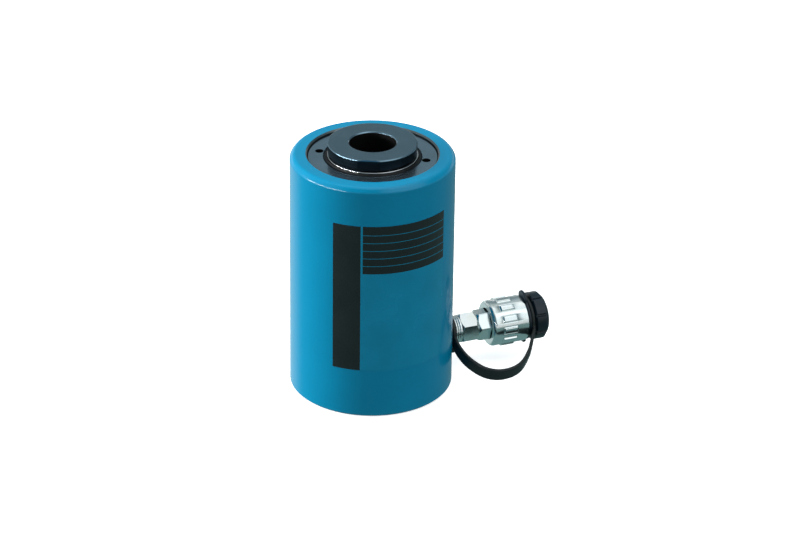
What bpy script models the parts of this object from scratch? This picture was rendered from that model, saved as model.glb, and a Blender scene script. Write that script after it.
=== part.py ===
"""Hollow-plunger hydraulic cylinder: single-acting, spring return.

World frame: metres, +Z up.  The barrel stands on z = 0 with its axis parallel
to Z, and the oil coupler leaves the barrel's foot along +X.  The origin is the
centre of the footprint of the whole object.
"""
import math

import bmesh
import bpy
import numpy as np
from mathutils import Matrix, Vector

# ---------------------------------------------------------------- dimensions
MM = 0.001

OVERALL_H = 153.0          # foot to saddle face, plunger retracted
BODY_H = 146.0             # foot to the barrel's rim
BODY_R = 47.5              # barrel outside radius
BORE_R = 36.5              # pressure bore
STROKE = 50.0
HOLE_R = 13.5              # through hole of centre tube and saddle

FLOOR_Z = 19.2             # floor of the pressure bore
THREAD_R = 37.5            # stop-ring thread in the barrel's mouth
STOP_TOP_Z = 144.3
STOP_HEAD_Z = 119.0        # underside of the stop ring's threaded head
PISTON_Z0 = 19.5
PISTON_Z1 = 41.0
PLUNGER_R = 26.0
PLUNGER_TOP_Z = 145.6
TUBE_R = 18.0
TUBE_TOP_Z = 133.0
GAP = 0.3                  # clearance between touching pieces

SADDLE_R = 25.9
SADDLE_FLAT = 25.1         # axis to each wrench flat
SPANNER_PCR = 31.0         # pitch radius of the two spanner holes
SPANNER_R = 2.5

PORT_Z = 22.0              # height of the oil port and the coupler's axis
CAP_END = 109.3            # barrel axis to the dust cap's end face
AXIS_X = -(CAP_END - BODY_R) / 2.0

FACETS = 40                # facets of the barrel and the stop ring
STEP_DEG = 360.0 / FACETS

# stations along the coupler, measured from the barrel's axis
HEX1_S = (55.2, 65.0)
HEX2_S = (65.3, 75.8)
COLLAR_S = (73.3, 95.6)
FLANGE_S = (95.9, 97.5)
HEAD_S = (100.3, CAP_END)
COLLAR_R = 13.7
PAD_R = 14.5
HEX_AF = 16.6

# directions round the coupler, measured in the YZ plane from -Y towards +Z
FACE_DEG = 29.2            # the side turned to the front of the label
STRAP_DEG = -20.0          # the way the strap's loop lies
TAB_DEG = 88.0
NUB_DEG = -80.0
BUTTON_DEG = -63.0

VIEW_DEG = 22.0            # the label's front is turned this far from -Y
FLAT_DEG = -(4.5 + VIEW_DEG)
SPANNER_DEG = -(10.0 + VIEW_DEG)

# ------------------------------------------------------------------- clearing
for old in list(bpy.data.objects):
    bpy.data.objects.remove(old, do_unlink=True)


# ------------------------------------------------------------------ materials
def material(name, colour, rough, metal):
    m = bpy.data.materials.new(name)
    m.use_nodes = True
    b = m.node_tree.nodes["Principled BSDF"]
    b.inputs["Base Color"].default_value = (*colour, 1.0)
    b.inputs["Roughness"].default_value = rough
    b.inputs["Metallic"].default_value = metal
    m.diffuse_color = (*colour, 1.0)
    return m


# -------------------------------------------------------------------- helpers
def finish(name, bm, mat, loc=(0, 0, 0), rot=(0, 0, 0), sharp=35.0):
    bmesh.ops.recalc_face_normals(bm, faces=bm.faces)
    me = bpy.data.meshes.new(name)
    bm.to_mesh(me)
    bm.free()
    me.shade_smooth()
    me.set_sharp_from_angle(angle=math.radians(sharp))
    ob = bpy.data.objects.new(name, me)
    ob.location = [c * MM for c in loc]
    ob.rotation_euler = [math.radians(a) for a in rot]
    bpy.context.scene.collection.objects.link(ob)
    if mat:
        ob.data.materials.append(mat)
    return ob


def spin_mesh(profile, steps, phase=0.0):
    """Turn a closed (radius, height) section about Z."""
    bm = bmesh.new()
    vs = [bm.verts.new((r * MM, 0.0, z * MM)) for r, z in profile]
    edges = []
    on_axis = [abs(r) < 1e-9 for r, z in profile]
    for i in range(len(vs)):
        j = (i + 1) % len(vs)
        if on_axis[i] and on_axis[j]:
            continue
        edges.append(bm.edges.new((vs[i], vs[j])))
    if phase:
        bmesh.ops.rotate(bm, cent=(0, 0, 0), verts=vs,
                         matrix=Matrix.Rotation(math.radians(phase), 3, "Z"))
    bmesh.ops.spin(bm, geom=vs + edges, cent=(0, 0, 0), axis=(0, 0, 1),
                   angle=2 * math.pi, steps=steps, use_merge=True,
                   use_duplicate=False)
    bmesh.ops.remove_doubles(bm, verts=bm.verts, dist=1e-6)
    return bm


def turned(name, profile, steps, mat, loc=(0, 0, 0), rot=(0, 0, 0), phase=0.0):
    return finish(name, spin_mesh(profile, steps, phase), mat, loc, rot)


def on_barrel(name, profile, steps, mat, phase=0.0):
    """A turned piece on the barrel's axis; heights are world heights."""
    return turned(name, profile, steps, mat, loc=(AXIS_X, 0, 0), phase=phase)


def on_coupler(name, profile, steps, mat, phase=0.0):
    """A turned piece on the coupler's axis; heights are stations."""
    return turned(name, profile, steps, mat, loc=(AXIS_X, 0, PORT_Z),
                  rot=(0, 90, 0), phase=phase)


def round_section(radius, centre_r, centre_z, n):
    return [(centre_r + radius * math.cos(2 * math.pi * i / n + math.pi / n),
             centre_z + radius * math.sin(2 * math.pi * i / n + math.pi / n))
            for i in range(n)]


def local_deg(yz_deg):
    """Direction in the YZ plane (from -Y towards +Z) as the local angle of a
    piece turned to lie along X (its local X is world -Z, its local Y world Y)."""
    y, z = -math.cos(math.radians(yz_deg)), math.sin(math.radians(yz_deg))
    return math.degrees(math.atan2(y, -z))


def as_cutter(ob):
    ob.hide_render = True
    ob.display_type = "WIRE"
    return ob


def boolean(ob, cutter, operation="DIFFERENCE"):
    m = ob.modifiers.new(operation.title() + "_" + cutter.name, "BOOLEAN")
    m.operation = operation
    m.solver = "EXACT"
    m.object = cutter


def polygon_tube(name, sides, inner, outer, z0, z1, first_corner, loc, rot):
    """Cutter: a prism with a prism-shaped hole, which leaves flats on a bar."""
    bm = bmesh.new()
    rings = []
    for radius, z in ((outer, z0), (outer, z1), (inner, z1), (inner, z0)):
        r = radius / math.cos(math.pi / sides)
        ring = [bm.verts.new((r * MM * math.cos(math.radians(first_corner) + 2 * math.pi * k / sides),
                              r * MM * math.sin(math.radians(first_corner) + 2 * math.pi * k / sides),
                              z * MM)) for k in range(sides)]
        rings.append(ring)
    for a in range(4):
        p, q = rings[a], rings[(a + 1) % 4]
        for k in range(sides):
            n = (k + 1) % sides
            bm.faces.new((p[k], p[n], q[n], q[k]))
    return as_cutter(finish(name, bm, None, loc, rot))


def raise_pads(bm, z0, z1, steps, group, wide, first_deg, height):
    """Raise blocks on a turned wall between two heights by extruding the
    wall's own faces outwards.  Blocks repeat every `group` facets."""
    facet = 2 * math.pi / steps
    first = math.radians(first_deg)
    blocks = {}
    for f in bm.faces:
        c = f.calc_center_median()
        if not (z0 * MM < c.z < z1 * MM):
            continue
        radial = Vector((c.x, c.y, 0)).normalized()
        f.normal_update()
        if abs(f.normal.dot(radial)) < 0.9 or c.xy.length < 0.9 * max(v.co.xy.length for v in f.verts):
            continue
        k = int(math.floor(((math.atan2(c.y, c.x) - first) / facet) % steps))
        if k % group < wide:
            blocks.setdefault(k // group, []).append(f)
    outer = max((max(v.co.xy.length for v in f.verts) for fs in blocks.values() for f in fs))
    for key in sorted(blocks):
        faces = [f for f in blocks[key] if max(v.co.xy.length for v in f.verts) > outer - 1e-5]
        res = bmesh.ops.extrude_face_region(bm, geom=faces)
        bmesh.ops.delete(bm, geom=faces, context="FACES")
        for v in [g for g in res["geom"] if isinstance(g, bmesh.types.BMVert)]:
            d = Vector((v.co.x, v.co.y, 0))
            v.co += d.normalized() * height * MM


# ---------------------------------------------------------------- the barrel
paint = material("blue_enamel", (0.0, 0.27, 0.42), 0.22, 0.0)
barrel = on_barrel("cylinder_body", [
    (BODY_R, BODY_H - 2.8), (BODY_R, 1.2), (BODY_R - 1.2, 0.0), (19.9, 0.0),
    (19.9, 7.3), (18.3, 7.3), (18.3, 10.5), (20.6, 10.5), (20.6, 13.5),
    (18.3, 13.5), (18.3, FLOOR_Z), (BORE_R, FLOOR_Z),
    (BORE_R, STOP_HEAD_Z - GAP), (THREAD_R, STOP_HEAD_Z - GAP),
    (THREAD_R, BODY_H - 0.7), (THREAD_R + 0.7, BODY_H), (BODY_R - 2.0, BODY_H),
], FACETS, paint)
port_cut = as_cutter(on_coupler("port_cutter", [
    (8.5, 60.0), (8.5, 38.3), (2.5, 38.3), (2.5, 30.0), (0.0, 30.0), (0.0, 60.0),
], 20, None, phase=9.0))
boolean(barrel, port_cut)

black_film = material("label_black", (0.012, 0.013, 0.015), 0.3, 0.0)
label_bm = bmesh.new()
LABEL_Z = (30.5, 122.5)
label_a0, label_a1 = -90 - VIEW_DEG - 27.0, -90 - VIEW_DEG + 59.0
grid = sorted({label_a0, label_a1} | {k * STEP_DEG for k in range(-FACETS, FACETS) if label_a0 + 0.5 < k * STEP_DEG < label_a1 - 0.5})
cols = []
for a in grid:
    c, s = math.cos(math.radians(a)), math.sin(math.radians(a))
    cols.append([label_bm.verts.new((r * MM * c, r * MM * s, z * MM))
                 for r, z in ((BODY_R + 0.15, LABEL_Z[0]), (BODY_R + 0.35, LABEL_Z[0]),
                              (BODY_R + 0.35, LABEL_Z[1]), (BODY_R + 0.15, LABEL_Z[1]))])
for p, q in zip(cols, cols[1:]):
    for k in range(4):
        label_bm.faces.new((p[k], q[k], q[(k + 1) % 4], p[(k + 1) % 4]))
label_bm.faces.new(cols[0])
label_bm.faces.new(list(reversed(cols[-1])))
finish("label_film", label_bm, black_film, loc=(AXIS_X, 0, 0))

steel = material("ground_steel", (0.62, 0.63, 0.64), 0.25, 1.0)
on_barrel("centre_tube", [
    (19.6, 7.0), (19.6, 1.2), (19.0, 0.6), (HOLE_R + 1.0, 0.6), (HOLE_R, 1.6),
    (HOLE_R, TUBE_TOP_Z - 0.8), (HOLE_R + 0.8, TUBE_TOP_Z),
    (TUBE_R - 0.8, TUBE_TOP_Z), (TUBE_R, TUBE_TOP_Z - 0.8), (TUBE_R, 7.0),
], 32, steel)
nitrile = material("nitrile", (0.02, 0.02, 0.022), 0.6, 0.0)
on_barrel("centre_tube_seal", round_section(0.95, 19.35, 12.0, 6), 24,
          material("centre_seal_rubber", (0.02, 0.02, 0.022), 0.6, 0.0))

# -------------------------------------------------------------- the stop ring
blackened = material("blackened_steel", (0.10, 0.11, 0.12), 0.42, 0.9)
stop = on_barrel("stop_ring", [
    (THREAD_R - GAP, STOP_TOP_Z - 0.6), (THREAD_R - GAP, STOP_HEAD_Z),
    (BORE_R - GAP, STOP_HEAD_Z), (BORE_R - GAP, PISTON_Z1 + STROKE + GAP),
    (33.6, PISTON_Z1 + STROKE + GAP), (33.6, STOP_HEAD_Z + 0.2),
    (26.6, STOP_HEAD_Z + 0.2), (26.6, 122.7), (28.5, 122.7), (28.5, 138.3),
    (26.6, 138.3), (26.6, 140.4), (28.2, 140.4), (28.2, STOP_TOP_Z - 0.3),
    (28.5, STOP_TOP_Z), (THREAD_R - GAP - 0.6, STOP_TOP_Z),
], FACETS, blackened)
for i, deg in enumerate((SPANNER_DEG, SPANNER_DEG + 180)):
    a = math.radians(deg)
    cut = turned("spanner_cutter_%d" % i, [(SPANNER_R, 150), (SPANNER_R, 138.3), (0, 138.3), (0, 150)],
                 12, None, loc=(AXIS_X + SPANNER_PCR * math.cos(a), SPANNER_PCR * math.sin(a), 0))
    boolean(stop, as_cutter(cut))

on_barrel("guide_bush", [(28.2, 138.0), (28.2, 123.0), (26.3, 123.0), (26.3, 138.0)], 32,
          material("bush_polymer", (0.45, 0.30, 0.12), 0.5, 0.0))
on_barrel("rod_wiper", [
    (27.9, 144.0), (27.9, 140.7), (26.8, 140.7), (26.8, 142.4), (26.25, 144.9),
    (26.6, 144.9), (27.3, 144.0)], 32,
    material("wiper_rubber", (0.015, 0.015, 0.016), 0.5, 0.0))

# ---------------------------------------------------------------- the plunger
chrome = material("hard_chrome", (0.72, 0.73, 0.74), 0.12, 1.0)
on_barrel("plunger", [
    (36.0, PISTON_Z1 - 0.6), (36.0, 38.0), (34.0, 38.0), (34.0, 34.4), (36.0, 34.4),
    (36.0, 33.2), (31.5, 33.2), (31.5, 25.0), (36.0, 25.0), (36.0, 23.6),
    (33.0, PISTON_Z0), (18.3, PISTON_Z0), (18.3, 25.0), (22.5, 25.0), (22.5, 31.4),
    (18.3, 31.4), (18.3, 34.4), (20.3, 34.4), (20.3, 38.0), (18.3, 38.0),
    (18.3, 134.2), (21.0, 134.2), (21.0, PLUNGER_TOP_Z), (PLUNGER_R - 0.6, PLUNGER_TOP_Z),
    (PLUNGER_R, PLUNGER_TOP_Z - 0.6), (PLUNGER_R, PISTON_Z1), (35.4, PISTON_Z1),
], 32, chrome)
on_barrel("piston_seal", [
    (36.2, 26.4), (35.6, 25.4), (34.6, 27.8), (33.2, 27.8), (32.2, 25.4),
    (31.8, 26.4), (31.8, 31.0), (35.9, 31.0)], 32,
    material("piston_seal_urethane", (0.35, 0.20, 0.05), 0.45, 0.0))
on_barrel("piston_backup_ring", [(36.0, 32.8), (36.0, 31.4), (31.8, 31.4), (31.8, 32.8)], 32,
          material("backup_ring_white", (0.82, 0.81, 0.76), 0.5, 0.0))
on_barrel("piston_wear_ring", [(36.2, 37.7), (36.2, 34.7), (34.3, 34.7), (34.3, 37.7)], 32,
          material("piston_wear_ring_bronze", (0.50, 0.32, 0.15), 0.5, 0.0))
on_barrel("inner_seal", [
    (22.2, 31.1), (22.2, 26.2), (21.4, 25.3), (20.7, 27.4), (19.8, 27.4),
    (19.0, 25.3), (18.25, 26.2), (18.5, 31.1)], 24,
    material("inner_seal_urethane", (0.35, 0.20, 0.05), 0.45, 0.0))
on_barrel("inner_wear_ring", [(20.0, 37.7), (20.0, 34.7), (18.25, 34.7), (18.25, 37.7)], 24,
          material("inner_wear_ring_bronze", (0.50, 0.32, 0.15), 0.5, 0.0))

saddle = on_barrel("saddle", [
    (SADDLE_R, OVERALL_H - 0.6), (SADDLE_R, 147.0), (SADDLE_R - 1.6, 146.6),
    (SADDLE_R - 1.6, 145.9), (20.7, 145.9), (20.7, 134.5), (HOLE_R + 0.6, 134.5),
    (HOLE_R, 135.1), (HOLE_R, OVERALL_H - 1.1), (HOLE_R + 1.1, OVERALL_H),
    (SADDLE_R - 0.6, OVERALL_H)], 36,
    material("saddle_steel", (0.075, 0.085, 0.095), 0.38, 0.9))
flats = polygon_tube("saddle_flat_cutter", 4, SADDLE_FLAT, 32.0, 145.0, 160.0,
                     FLAT_DEG + 45.0, (AXIS_X, 0, 0), (0, 0, 0))
boolean(saddle, flats)


# ----------------------------------------------------------------- the springs
def coil(name, mean_r, wire, z0, z1, turns, dead, per_turn, res, mat, loc, rot):
    """Compression spring whose end coils lie close together."""
    close = wire * 1.08
    n = int(round(turns * per_turn))
    live = (z1 - z0 - wire - 2 * dead * close) / (turns - 2 * dead)
    cu = bpy.data.curves.new(name, "CURVE")
    cu.dimensions = "3D"
    cu.bevel_depth = wire / 2 * MM
    cu.bevel_resolution = res
    cu.use_fill_caps = True
    sp = cu.splines.new("POLY")
    sp.points.add(n)
    for i in range(n + 1):
        t = turns * i / n
        z = z0 + wire / 2 + close * min(t, dead) + live * max(0.0, min(t, turns - dead) - dead) \
            + close * max(0.0, t - (turns - dead))
        a = 2 * math.pi * t
        sp.points[i].co = (mean_r * math.cos(a) * MM, mean_r * math.sin(a) * MM, z * MM, 1.0)
    ob = bpy.data.objects.new(name, cu)
    ob.location = [c * MM for c in loc]
    ob.rotation_euler = [math.radians(a) for a in rot]
    bpy.context.scene.collection.objects.link(ob)
    ob.data.materials.append(mat)
    return ob


coil("return_spring", 30.0, 5.2, PISTON_Z1 + GAP, STOP_HEAD_Z - 0.1, 5.0, 0.8, 16, 1,
     material("spring_steel", (0.16, 0.17, 0.18), 0.35, 0.9), (AXIS_X, 0, 0), (0, 0, 0))

# ----------------------------------------------------------- adaptor, coupler
zinc = material("bright_zinc", (0.78, 0.80, 0.82), 0.18, 1.0)
adaptor = on_coupler("port_adaptor", [
    (8.2, 38.6), (8.2, HEX1_S[0] - 0.4), (7.7, HEX1_S[0]), (8.5, HEX1_S[0]), (9.7, HEX1_S[0] + 1.0),
    (9.7, HEX1_S[1] - 1.0), (8.5, HEX1_S[1]), (6.6, HEX1_S[1]), (6.6, 77.2),
    (3.0, 77.2), (3.0, 38.6)], 24, zinc)
hex1 = polygon_tube("hex1_cutter", 6, HEX_AF / 2, 13.0, HEX1_S[0] - 0.2, HEX1_S[1] + 0.2,
                    local_deg(FACE_DEG), (AXIS_X, 0, PORT_Z), (0, 90, 0))
boolean(adaptor, hex1)

coupler = on_coupler("coupler_body", [
    (7.7, HEX2_S[0]), (8.9, HEX2_S[0] + 2.0), (8.9, HEX2_S[1]), (8.6, HEX2_S[1]), (8.6, 78.9),
    (7.6, 78.9), (7.6, 80.3), (8.6, 80.3), (8.6, 94.6), (8.0, 95.2), (6.0, 95.2),
    (6.0, 78.8), (3.4, 78.8), (3.4, 77.5), (6.9, 77.5), (6.9, HEX2_S[0])], 24,
    material("coupler_zinc", (0.78, 0.80, 0.82), 0.18, 1.0))
hex2 = polygon_tube("hex2_cutter", 6, HEX_AF / 2, 13.0, HEX2_S[0] - 0.2, HEX2_S[1] + 0.02,
                    local_deg(8.5), (AXIS_X, 0, PORT_Z), (0, 90, 0))
boolean(coupler, hex2)

shoulder = [(COLLAR_R - 3.6 + 3.6 * math.cos(t), COLLAR_S[0] + 3.8 - 3.8 * math.sin(t))
            for t in (math.pi / 2 * k / 3 for k in range(4))]
collar_bm = spin_mesh([
    (COLLAR_R, COLLAR_S[1] - 0.5), (COLLAR_R, 87.9), (COLLAR_R, 79.6)] + shoulder + [
    (9.4, COLLAR_S[0]), (9.4, 76.2), (8.9, 76.2), (8.9, 78.6), (11.2, 78.6),
    (11.2, COLLAR_S[1] - 0.8), (12.0, COLLAR_S[1]), (COLLAR_R - 0.5, COLLAR_S[1])],
    48, phase=local_deg(FACE_DEG + 2.4) - 7.5)
raise_pads(collar_bm, 79.7, 87.8, 48, 4, 2, local_deg(FACE_DEG + 2.4) - 7.5, PAD_R - COLLAR_R)
finish("lock_collar", collar_bm, material("collar_zinc", (0.80, 0.82, 0.84), 0.16, 1.0),
       loc=(AXIS_X, 0, PORT_Z), rot=(0, 90, 0))

snap = on_coupler("collar_retaining_ring", [(10.6, 79.0), (10.6, 80.15), (7.9, 80.15), (7.9, 79.0)],
                  24, material("snap_ring_steel", (0.30, 0.31, 0.32), 0.35, 1.0))
bm = bmesh.new()
bmesh.ops.create_cube(bm, size=1.0)
bmesh.ops.scale(bm, verts=bm.verts, vec=(0.008, 0.004, 0.004))
bmesh.ops.translate(bm, verts=bm.verts, vec=(0.0092, 0, 0.0796))
boolean(snap, as_cutter(finish("snap_gap_cutter", bm, None, (AXIS_X, 0, PORT_Z), (0, 90, 0))))

on_coupler("valve_seat", [
    (5.7, 88.0), (5.7, 90.4), (4.9, 90.4), (4.9, 92.4), (5.7, 92.4), (5.7, 94.8),
    (3.1, 94.8), (3.1, 90.4), (4.7, 88.0)], 16,
    material("valve_seat_steel", (0.60, 0.60, 0.60), 0.25, 1.0))
on_coupler("seat_seal", round_section(0.38, 5.45, 91.4, 6), 16,
           material("seat_seal_rubber", (0.02, 0.02, 0.022), 0.6, 0.0))
on_coupler("valve_poppet", [
    (0.0, 83.3), (2.2, 83.3), (2.4, 83.6), (2.4, 85.0), (4.9, 85.0), (4.9, 86.4), (4.2, 87.6), (2.7, 89.9),
    (1.8, 90.2), (1.8, 93.7), (1.3, 94.2), (0.0, 94.2)], 16,
    material("poppet_steel", (0.66, 0.66, 0.66), 0.2, 1.0))
coil("valve_spring", 3.9, 0.7, 79.1, 84.7, 4.0, 0.7, 10, 1,
     material("valve_spring_steel", (0.35, 0.36, 0.37), 0.3, 1.0), (AXIS_X, 0, PORT_Z), (0, 90, 0))

# ---------------------------------------------------------- dust cap and strap
cap_phase = local_deg(FACE_DEG - 3.4) + 5.625
cap_bm = spin_mesh([
    (9.3, 86.0), (10.8, 86.0), (10.8, FLANGE_S[0]), (13.3, FLANGE_S[0]), (13.3, FLANGE_S[1]),
    (9.5, FLANGE_S[1]), (9.5, HEAD_S[0]), (13.0, HEAD_S[0]), (13.2, HEAD_S[0] + 0.5),
    (13.2, 106.3), (13.2, 107.1), (12.6, 108.4), (11.4, CAP_END), (0.0, CAP_END),
    (0.0, 96.6), (9.3, 96.6)], 32, phase=cap_phase)
raise_pads(cap_bm, HEAD_S[0] + 0.5, 106.3, 32, 4, 3, cap_phase, 0.6)
rubber = material("cap_rubber", (0.014, 0.016, 0.018), 0.45, 0.0)
cap = finish("dust_cap", cap_bm, rubber, loc=(AXIS_X, 0, PORT_Z), rot=(0, 90, 0))


def lobe(name, deg, width, reach, inner, s0, s1, taper):
    """A tab in the plane of a ring, pointing out along a direction."""
    bm = bmesh.new()
    d = math.radians(deg)
    out = Vector((0, -math.cos(d), math.sin(d)))
    side = Vector((0, -math.sin(d), -math.cos(d)))
    rows = ((inner, width / 2), (reach - taper, width / 2), (reach, width / 2 - taper))
    loop = [(r, w) for r, w in rows] + [(r, -w) for r, w in reversed(rows)]
    lo = [bm.verts.new((out * r + side * w) * MM + Vector((s0 * MM, 0, 0))) for r, w in loop]
    face = bm.faces.new(lo)
    res = bmesh.ops.extrude_face_region(bm, geom=[face])
    bmesh.ops.translate(bm, vec=((s1 - s0) * MM, 0, 0),
                        verts=[g for g in res["geom"] if isinstance(g, bmesh.types.BMVert)])
    return as_cutter(finish(name, bm, None, (AXIS_X, 0, PORT_Z)))


boolean(cap, lobe("cap_tab_union", TAB_DEG, 10.6, 17.1, 11.6, FLANGE_S[0], FLANGE_S[1], 2.6), "UNION")
boolean(cap, lobe("cap_nub_union", NUB_DEG, 3.4, 15.2, 11.6, FLANGE_S[0], FLANGE_S[1], 1.2), "UNION")

strap_rubber = material("strap_rubber", (0.016, 0.017, 0.019), 0.5, 0.0)
base_ring = on_coupler("strap_base_ring", [
    (10.9, 50.0), (10.9, 48.3), (10.4, 47.9), (8.5, 47.9), (8.5, 50.3), (10.5, 50.3)], 24, strap_rubber)
d = math.radians(BUTTON_DEG)
button = turned("strap_button_union", [(0.0, 1.7), (1.5, 1.4), (2.1, 0.5), (2.1, -0.5), (1.5, -1.4), (0.0, -1.7)],
                12, None, loc=(AXIS_X + 49.7, -11.5 * math.cos(d), PORT_Z + 11.5 * math.sin(d)), rot=(0, 90, 0))
boolean(base_ring, as_cutter(button), "UNION")
on_coupler("strap_cap_ring", [
    (13.0, 99.6), (13.0, 98.2), (12.6, 97.8), (9.8, 97.8), (9.8, 100.0), (12.6, 100.0)], 24,
    material("cap_ring_rubber", (0.016, 0.017, 0.019), 0.5, 0.0))

# the strap's loop: (station, distance from the coupler's axis) in its plane
STRAP_ROUTE = ((49.1, 11.3), (49.4, 18.0), (51.4, 26.1), (56.0, 34.1), (61.1, 38.4),
               (67.6, 40.4), (75.4, 39.6), (82.4, 35.9), (90.0, 27.6), (95.0, 19.6), (98.9, 13.4))
STRAP_W, STRAP_T = 8.6, 2.0


def smooth_route(pts, per):
    """Catmull-Rom curve through the route's points."""
    p = [np.array(q, dtype=float) for q in pts]
    p = [2 * p[0] - p[1]] + p + [2 * p[-1] - p[-2]]
    out = []
    for i in range(1, len(p) - 2):
        a, b, c, d4 = p[i - 1], p[i], p[i + 1], p[i + 2]
        for k in range(per):
            t = k / per
            out.append(0.5 * (2 * b + (c - a) * t + (2 * a - 5 * b + 4 * c - d4) * t * t
                              + (3 * b - a - 3 * c + d4) * t ** 3))
    out.append(p[-2])
    return out


route = smooth_route(STRAP_ROUTE, 3)
a = math.radians(STRAP_DEG)
out_v = Vector((0, -math.cos(a), math.sin(a)))
wide_v = Vector((0, -math.sin(a), -math.cos(a)))
bm = bmesh.new()
rings = []
for i, q in enumerate(route):
    q0, q1 = route[max(i - 1, 0)], route[min(i + 1, len(route) - 1)]
    tan = (q1 - q0) / np.linalg.norm(q1 - q0)
    nrm = (-tan[1], tan[0])
    ring = []
    for w, t in ((-1, -1), (1, -1), (1, 1), (-1, 1)):
        s = q[0] + nrm[0] * t * STRAP_T / 2
        r = q[1] + nrm[1] * t * STRAP_T / 2
        v = Vector((s, 0, 0)) + out_v * r + wide_v * (w * STRAP_W / 2)
        ring.append(bm.verts.new(v * MM))
    rings.append(ring)
for p, q in zip(rings, rings[1:]):
    for k in range(4):
        bm.faces.new((p[k], q[k], q[(k + 1) % 4], p[(k + 1) % 4]))
bm.faces.new(rings[0])
bm.faces.new(list(reversed(rings[-1])))
finish("strap_band", bm, material("band_rubber", (0.016, 0.017, 0.019), 0.5, 0.0),
       loc=(AXIS_X, 0, PORT_Z))

bpy.context.view_layer.update()
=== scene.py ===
"""Looks of the hollow-plunger hydraulic cylinder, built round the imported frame.

All dimensions are in millimetres until a vertex is made.  The barrel's axis is
parallel to Z at x = AXIS_X; the coupler's axis is parallel to X at z = PORT_Z.
Directions round the coupler are measured in the YZ plane from -Y towards +Z.
"""
import math

import bmesh
import bpy
import numpy as np
from mathutils import Matrix, Vector


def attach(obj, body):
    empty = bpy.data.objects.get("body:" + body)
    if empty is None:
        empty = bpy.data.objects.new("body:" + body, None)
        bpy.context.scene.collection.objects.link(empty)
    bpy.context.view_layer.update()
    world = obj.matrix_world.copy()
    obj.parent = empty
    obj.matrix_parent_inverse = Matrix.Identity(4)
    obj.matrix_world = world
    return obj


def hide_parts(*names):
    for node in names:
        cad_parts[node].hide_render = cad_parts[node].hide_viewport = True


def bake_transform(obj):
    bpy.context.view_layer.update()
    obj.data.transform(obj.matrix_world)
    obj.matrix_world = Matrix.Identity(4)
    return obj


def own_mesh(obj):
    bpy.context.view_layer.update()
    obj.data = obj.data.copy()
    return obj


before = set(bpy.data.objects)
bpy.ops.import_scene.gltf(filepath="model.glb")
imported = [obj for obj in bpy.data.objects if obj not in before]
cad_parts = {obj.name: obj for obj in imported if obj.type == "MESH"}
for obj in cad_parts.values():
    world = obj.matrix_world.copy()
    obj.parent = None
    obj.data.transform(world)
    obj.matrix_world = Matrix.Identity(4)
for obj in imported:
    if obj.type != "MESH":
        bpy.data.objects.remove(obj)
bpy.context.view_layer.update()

MM = 0.001
AXIS_X = -30.9
PORT_Z = 22.0
BODY_R = 47.5
BODY_H = 146.0
HEX_AF = 16.6
FACE_DEG = 29.2
VIEW_DEG = 22.107
PHI = math.radians(VIEW_DEG)
BARREL_AT = (AXIS_X, 0.0, 0.0)
COUPLER_AT = (AXIS_X, 0.0, PORT_Z)


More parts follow.
